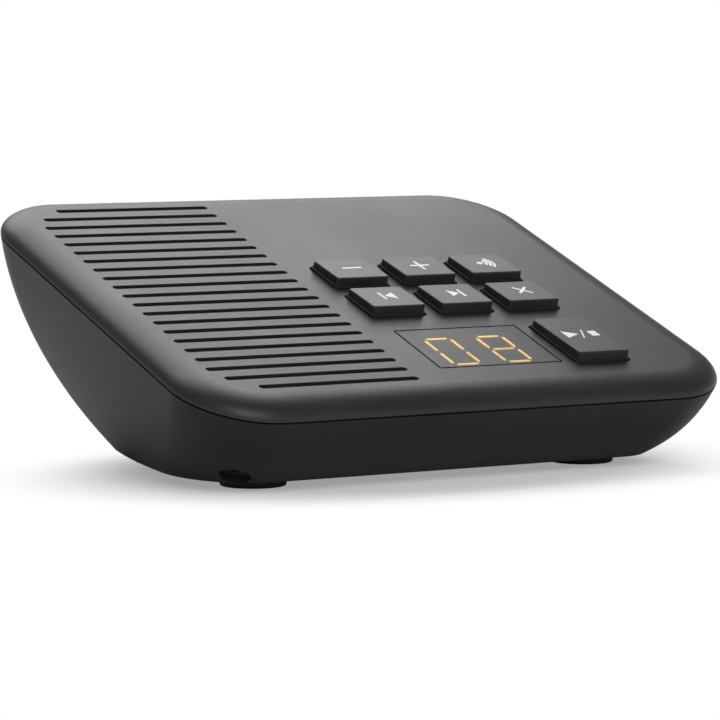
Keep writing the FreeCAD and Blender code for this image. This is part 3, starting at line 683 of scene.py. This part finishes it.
def boardSpots(height):
    look = smallParts
    (x0, x1), (y0, y1) = look["reach"]
    room = look["room"]
    spots = []
    for i in range(int((x1 - x0) / look["pitchX"])):
        for j in range(int((y1 - y0) / look["pitchY"])):
            x = x0 + i * look["pitchX"]
            y = y0 + j * look["pitchY"]
            if not any(a - room < x < b + room and c - room < y < d + room for a, b, c, d in look["taken"]):
                spots.append(Vector((x, y, look["boardTop"] + height / 2)) * mm)
    return spots


def displayPins():
    look = smallParts
    half = (look["pinsPerRow"] - 1) / 2
    return [onCover(cover["windowX"] + (i - half) * look["pinPitch"], cover["windowS"] + side * look["pinRow"],
                    look["keyBoardUnder"]) for i in range(look["pinsPerRow"]) for side in (-1, 1)]


resistor, capacitor = smallParts["resistor"], smallParts["capacitor"]
placeParts("chipResistors", boardSpots(resistor["size"][2])[0::2], resistor, 0.0, "chip_black")
placeParts("chipCapacitors", boardSpots(capacitor["size"][2])[1::2], capacitor, 0.0, "button_ivory")
placeParts("solderJoints", displayPins(), smallParts["solder"], tilt, "screw_steel", domes=True)


# ---- studio: floor, light and background
studio = {
    "floorColour": (0.86, 0.86, 0.86),
    "floorShade": (0.85, 0.85, 0.85),
    "floorHalfSize": 6.0,
    "floorDrop": 0.00003,
    "paleFloor": 0.33,            # how far the floor by the object is lifted towards white; painted light that makes its shadow paler for camera rays
    "fadeHalfWidth": 0.062,       # the fade to white follows an oval round the object
    "fadeHalfDepth": 0.045,
    "fadeCentre": (0.0, -0.012, 0.0),
    "fadeStart": 0.8,
    "fadeEnd": 1.5,
    "worldFill": 0.12,
    "ceiling": 0.12,              # what gloss sees above the white horizon
    "horizonLow": 0.1,
    "horizonHigh": 0.3,
    "aim": (0.0, 0.0, 0.03),
    "backBox": {"place": (0.157, 0.463, 0.6), "width": 0.66, "height": 0.66, "power": 4.7},
    "frontBox": {"place": (-0.3, -0.9, 0.6), "width": 0.6, "height": 0.6, "power": 5.8},
}


def buildFloor():
    bm = bmesh.new()
    bmesh.ops.create_grid(bm, x_segments=1, y_segments=1, size=studio["floorHalfSize"])
    shade = Shade("floorPaper")
    floor = makePiece("floor", bm, shade.material)
    floor.data.transform(Matrix.Translation((0, 0, -studio["floorDrop"])))      # clear of the feet's undersides
    centred = shade.add("ShaderNodeVectorMath", {"operation": "SUBTRACT"},
                        {0: shade.place, 1: studio["fadeCentre"]})
    oval = shade.add("ShaderNodeMapping", {}, {"Vector": centred, "Scale": (
        1 / studio["fadeHalfWidth"], 1 / studio["fadeHalfDepth"], 1.0)})
    away = shade.add("ShaderNodeVectorMath", {"operation": "LENGTH"}, {0: oval}, "Value")
    light = shade.add("ShaderNodeLightPath", {}, {}, "Is Camera Ray")
    glossy = shade.add("ShaderNodeLightPath", {}, {}, "Is Glossy Ray")
    through = shade.add("ShaderNodeLightPath", {}, {}, "Is Transmission Ray")
    near = shade.ramp(away, studio["fadeStart"], studio["fadeEnd"])
    # painted light: white glow lifts the shadow on the floor by the object
    near = near * (1 - studio["paleFloor"]) + studio["paleFloor"]
    far = shade.ramp(away, studio["fadeEnd"], 3 * studio["fadeEnd"])      # gloss keeps the floor's own shade nearby
    tone = shade.noise(30.0, 3.0, 0.5)
    shade.drive("Base Color", shade.mix(tone, studio["floorShade"], studio["floorColour"]))
    shade.fixed(Roughness=0.9)
    white = shade.tree.nodes.new("ShaderNodeEmission")
    white.inputs["Color"].default_value = (1, 1, 1, 1)
    white.inputs["Strength"].default_value = 1.0
    blend = shade.tree.nodes.new("ShaderNodeMixShader")
    shade.put(blend, 0, (near * light.largest(through)).largest(far * glossy))
    shade.tree.links.new(shade.shader.outputs[0], blend.inputs[1])
    shade.tree.links.new(white.outputs[0], blend.inputs[2])
    shade.tree.links.new(blend.outputs[0], shade.output.inputs["Surface"])


def buildWorld():
    world = bpy.data.worlds.new("studio")
    scene.world = world
    world.use_nodes = True
    tree = world.node_tree
    tree.nodes.clear()
    path = treeNode(tree, "ShaderNodeLightPath", {}, {}).outputs
    sky = treeNode(tree, "ShaderNodeTexCoord", {}, {})
    height = treeNode(tree, "ShaderNodeSeparateXYZ", {}, {0: sky.outputs["Generated"]})
    band = treeNode(tree, "ShaderNodeMapRange", {"interpolation_type": "SMOOTHSTEP"}, {
        "Value": height.outputs["Z"], "From Min": studio["horizonLow"], "From Max": studio["horizonHigh"],
        "To Min": 1.0, "To Max": studio["ceiling"]})
    gloss = treeNode(tree, "ShaderNodeMath", {"operation": "MULTIPLY"},
                     {0: band.outputs[0], 1: path["Is Glossy Ray"]})
    seen = treeNode(tree, "ShaderNodeMath", {"operation": "MAXIMUM"},
                    {0: path["Is Camera Ray"], 1: path["Is Transmission Ray"]})
    both = treeNode(tree, "ShaderNodeMath", {"operation": "MAXIMUM"}, {0: seen.outputs[0], 1: gloss.outputs[0]})
    fill, white = [treeNode(tree, "ShaderNodeBackground", {}, {"Color": (1, 1, 1, 1), "Strength": strength})
                   for strength in (studio["worldFill"], 1.0)]
    blend = treeNode(tree, "ShaderNodeMixShader", {}, {0: both.outputs[0], 1: fill.outputs[0], 2: white.outputs[0]})
    treeNode(tree, "ShaderNodeOutputWorld", {}, {"Surface": blend.outputs[0]})


def softBox(name, look):
    lamp = bpy.data.lights.new(name, "AREA")
    lamp.shape = "RECTANGLE"
    lamp.size = look["width"]
    lamp.size_y = look["height"]
    lamp.energy = look["power"]
    item = bpy.data.objects.new(name, lamp)
    item.location = look["place"]
    toObject = Vector(studio["aim"]) - Vector(look["place"])
    item.rotation_euler = toObject.to_track_quat("-Z", "Y").to_euler()
    scene.collection.objects.link(item)


buildFloor()
buildWorld()
softBox("backBox", studio["backBox"])
softBox("frontBox", studio["frontBox"])
print("studio lit")


# ---- camera at the photograph's place
shot = {
    "place": (-0.40542, -0.642956, 0.08547),
    "turnDegrees": (85.196, 0.0, -32.276),
    "lens": 180.16,
    "sensor": 36.0,
    "nearest": 0.05,
    "farthest": 50.0,
}
camera = bpy.data.cameras.new("camera")
camera.lens = shot["lens"]
camera.sensor_width = shot["sensor"]
camera.clip_start = shot["nearest"]
camera.clip_end = shot["farthest"]
cameraItem = bpy.data.objects.new("camera", camera)
cameraItem.location = shot["place"]
cameraItem.rotation_euler = [math.radians(a) for a in shot["turnDegrees"]]
scene.collection.objects.link(cameraItem)
scene.camera = cameraItem
scene.view_settings.view_transform = "Standard"
print("camera placed")
